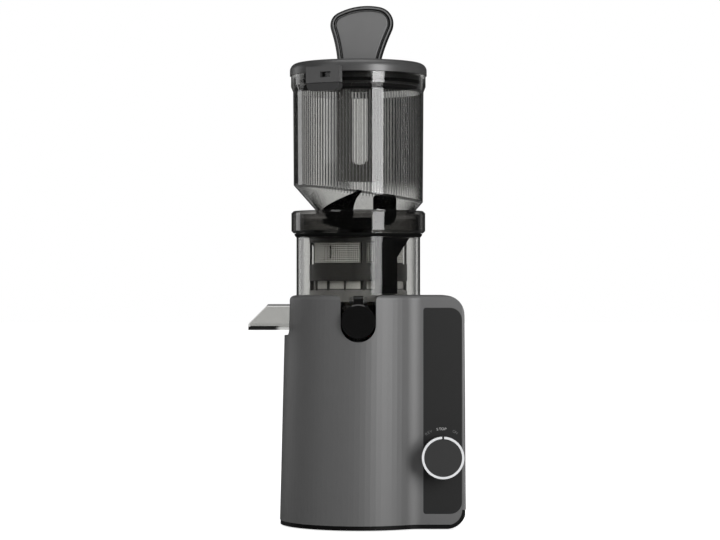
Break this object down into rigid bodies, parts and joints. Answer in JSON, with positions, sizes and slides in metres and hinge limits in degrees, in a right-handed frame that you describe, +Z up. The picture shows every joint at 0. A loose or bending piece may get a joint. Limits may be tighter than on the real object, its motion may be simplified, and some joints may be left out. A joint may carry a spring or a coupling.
{
  "type": "cold press juicer",
  "caption": "Upright cold press juicer: drive base with rotary knob, juicing bowl with strainer, brush and auger, hopper, lid and paddle pusher.",
  "frame": {"origin": "on the counter, on the axis of the bowl and the auger", "axes": "+Z up along the auger axis, -Y out of the front with the spout and the knob, +X towards the control block"},
  "size_m": [0.2032, 0.1565, 0.4931],
  "materials": {
    "satin_grey": "satin metallic grey paint on a moulded shell",
    "black_moulding": "fine grained black moulding",
    "black_rubber": "matt rubber",
    "fascia_black": "smooth black panel",
    "dark_moulding": "dark grey moulding",
    "seal_rubber": "soft seal",
    "cast_aluminium": "as cast",
    "zinc_steel": "zinc plated",
    "lamination_steel": "stacked laminations",
    "copper_coil": "enamelled copper wire",
    "bearing_bronze": "sintered bronze",
    "gear_plastic": "natural acetal",
    "board_green": "coated circuit board",
    "screw_steel": "plain steel",
    "smoky_clear": "smoky see-through copolyester",
    "smoky_dark": "dark smoky see-through plastic, glossy",
    "black_silicone": "soft black silicone",
    "strainer_plastic": "dark glass filled plastic",
    "strainer_steel": "perforated stainless sheet",
    "brush_plastic": "dark moulding",
    "auger_plastic": "hard black engineering plastic",
    "cap_black": "smooth black",
    "lid_grey": "satin dark grey",
    "handle_grey": "satin mid grey",
    "stem_black": "black moulding",
    "knob_black": "satin dark face",
    "knob_chrome": "bright chrome ring"
  },
  "bodies": {
    "base": {"housing": "satin_grey", "base_cover": "black_moulding", "feet": "black_rubber", "control_fascia": "fascia_black", "seat_deck": "dark_moulding", "shaft_seal": "seal_rubber", "motor_pad": "black_rubber", "motor_end_cap": "cast_aluminium", "motor_can": "zinc_steel", "stator_core": "lamination_steel", "stator_coils": "copper_coil", "motor_bearings": "bearing_bronze", "gearbox_case": "dark_moulding", "ring_gear": "gear_plastic", "gearbox_cover": "dark_moulding", "output_bush": "bearing_bronze", "control_board": "board_green", "board_standoffs": "gear_plastic", "rotary_switch": "black_moulding", "reed_switch": "board_green", "cord_gland": "black_moulding", "screws": "screw_steel"},
    "rotor": {"rotor_core": "lamination_steel", "motor_shaft": "screw_steel", "cooling_fan": "black_moulding"},
    "carrier": {"planet_carrier": "zinc_steel", "drive_shaft": "screw_steel"},
    "planet_a": {"planet_gear_a": "gear_plastic"},
    "planet_b": {"planet_gear_b": "gear_plastic"},
    "planet_c": {"planet_gear_c": "gear_plastic"},
    "bowl": {"juice_bowl": "smoky_clear", "bowl_base": "smoky_clear", "pulp_chute": "smoky_clear", "juice_spout": "smoky_clear", "bowl_bush": "gear_plastic", "idler_pin": "screw_steel", "rim_seal": "black_silicone", "strainer_frame": "strainer_plastic", "strainer_mesh": "strainer_steel", "interlock_magnet": "zinc_steel", "cap_pin": "screw_steel"},
    "idler": {"idler_gear": "gear_plastic"},
    "brush": {"brush_cage": "brush_plastic", "brush_gear": "brush_plastic", "wiper_blades": "black_silicone"},
    "auger": {"auger": "auger_plastic", "auger_gear": "gear_plastic", "auger_socket": "screw_steel"},
    "juice_cap": {"juice_cap": "cap_black", "cap_gasket": "black_silicone"},
    "hopper": {"hopper": "smoky_clear", "hopper_collar": "smoky_dark", "lid_catch": "lid_grey"},
    "lid": {"lid": "lid_grey", "lid_gasket": "black_silicone"},
    "pusher": {"pusher_handle": "handle_grey", "pusher_stem": "stem_black"},
    "knob": {"knob": "knob_black", "knob_ring": "knob_chrome", "knob_shaft": "screw_steel"}
  },
  "joints": [
    {"name": "motor_spin", "type": "hinge", "parent": "base", "child": "rotor", "pos_m": [0, 0, 0.06], "axis": [0, 0, 1], "continuous": true},
    {"name": "carrier_spin", "type": "hinge", "parent": "base", "child": "carrier", "pos_m": [0, 0, 0.12], "axis": [0, 0, 1], "continuous": true},
    {"name": "planet_a_spin", "type": "hinge", "parent": "carrier", "child": "planet_a", "pos_m": [0.01875, 0, 0.118], "axis": [0, 0, 1], "continuous": true},
    {"name": "planet_b_spin", "type": "hinge", "parent": "carrier", "child": "planet_b", "pos_m": [-0.00937, 0.01624, 0.118], "axis": [0, 0, 1], "continuous": true},
    {"name": "planet_c_spin", "type": "hinge", "parent": "carrier", "child": "planet_c", "pos_m": [-0.00937, -0.01624, 0.118], "axis": [0, 0, 1], "continuous": true},
    {"name": "bowl_lift", "type": "slide", "parent": "base", "child": "bowl", "axis": [0, 0, 1], "range_m": [0, 0.06]},
    {"name": "auger_spin", "type": "hinge", "parent": "bowl", "child": "auger", "pos_m": [0, 0, 0.2], "axis": [0, 0, 1], "continuous": true},
    {"name": "idler_spin", "type": "hinge", "parent": "bowl", "child": "idler", "pos_m": [0.024, 0, 0.214], "axis": [0, 0, 1], "continuous": true},
    {"name": "brush_spin", "type": "hinge", "parent": "bowl", "child": "brush", "pos_m": [0, 0, 0.24], "axis": [0, 0, 1], "continuous": true},
    {"name": "cap_hinge", "type": "hinge", "parent": "bowl", "child": "juice_cap", "pos_m": [0, -0.071, 0.2115], "axis": [-1, 0, 0], "range_deg": [0, 100]},
    {"name": "hopper_lift", "type": "slide", "parent": "bowl", "child": "hopper", "axis": [0, 0, 1], "range_m": [0, 0.06]},
    {"name": "lid_lift", "type": "slide", "parent": "hopper", "child": "lid", "axis": [0, 0, 1], "range_m": [0, 0.12]},
    {"name": "pusher_lift", "type": "slide", "parent": "lid", "child": "pusher", "axis": [0, 0, 1], "range_m": [0, 0.11]},
    {"name": "knob_turn", "type": "hinge", "parent": "base", "child": "knob", "pos_m": [0.0778, -0.07, 0.0685], "axis": [0, 1, 0], "range_deg": [-30, 30]}
  ],
  "couplings": [
    {"joint": "carrier_spin", "follows": "motor_spin", "ratio": 0.2},
    {"joint": "planet_a_spin", "follows": "motor_spin", "ratio": -0.53333},
    {"joint": "planet_b_spin", "follows": "motor_spin", "ratio": -0.53333},
    {"joint": "planet_c_spin", "follows": "motor_spin", "ratio": -0.53333},
    {"joint": "auger_spin", "follows": "motor_spin", "ratio": 0.2},
    {"joint": "idler_spin", "follows": "motor_spin", "ratio": -0.33333},
    {"joint": "brush_spin", "follows": "motor_spin", "ratio": -0.090909}
  ]
}
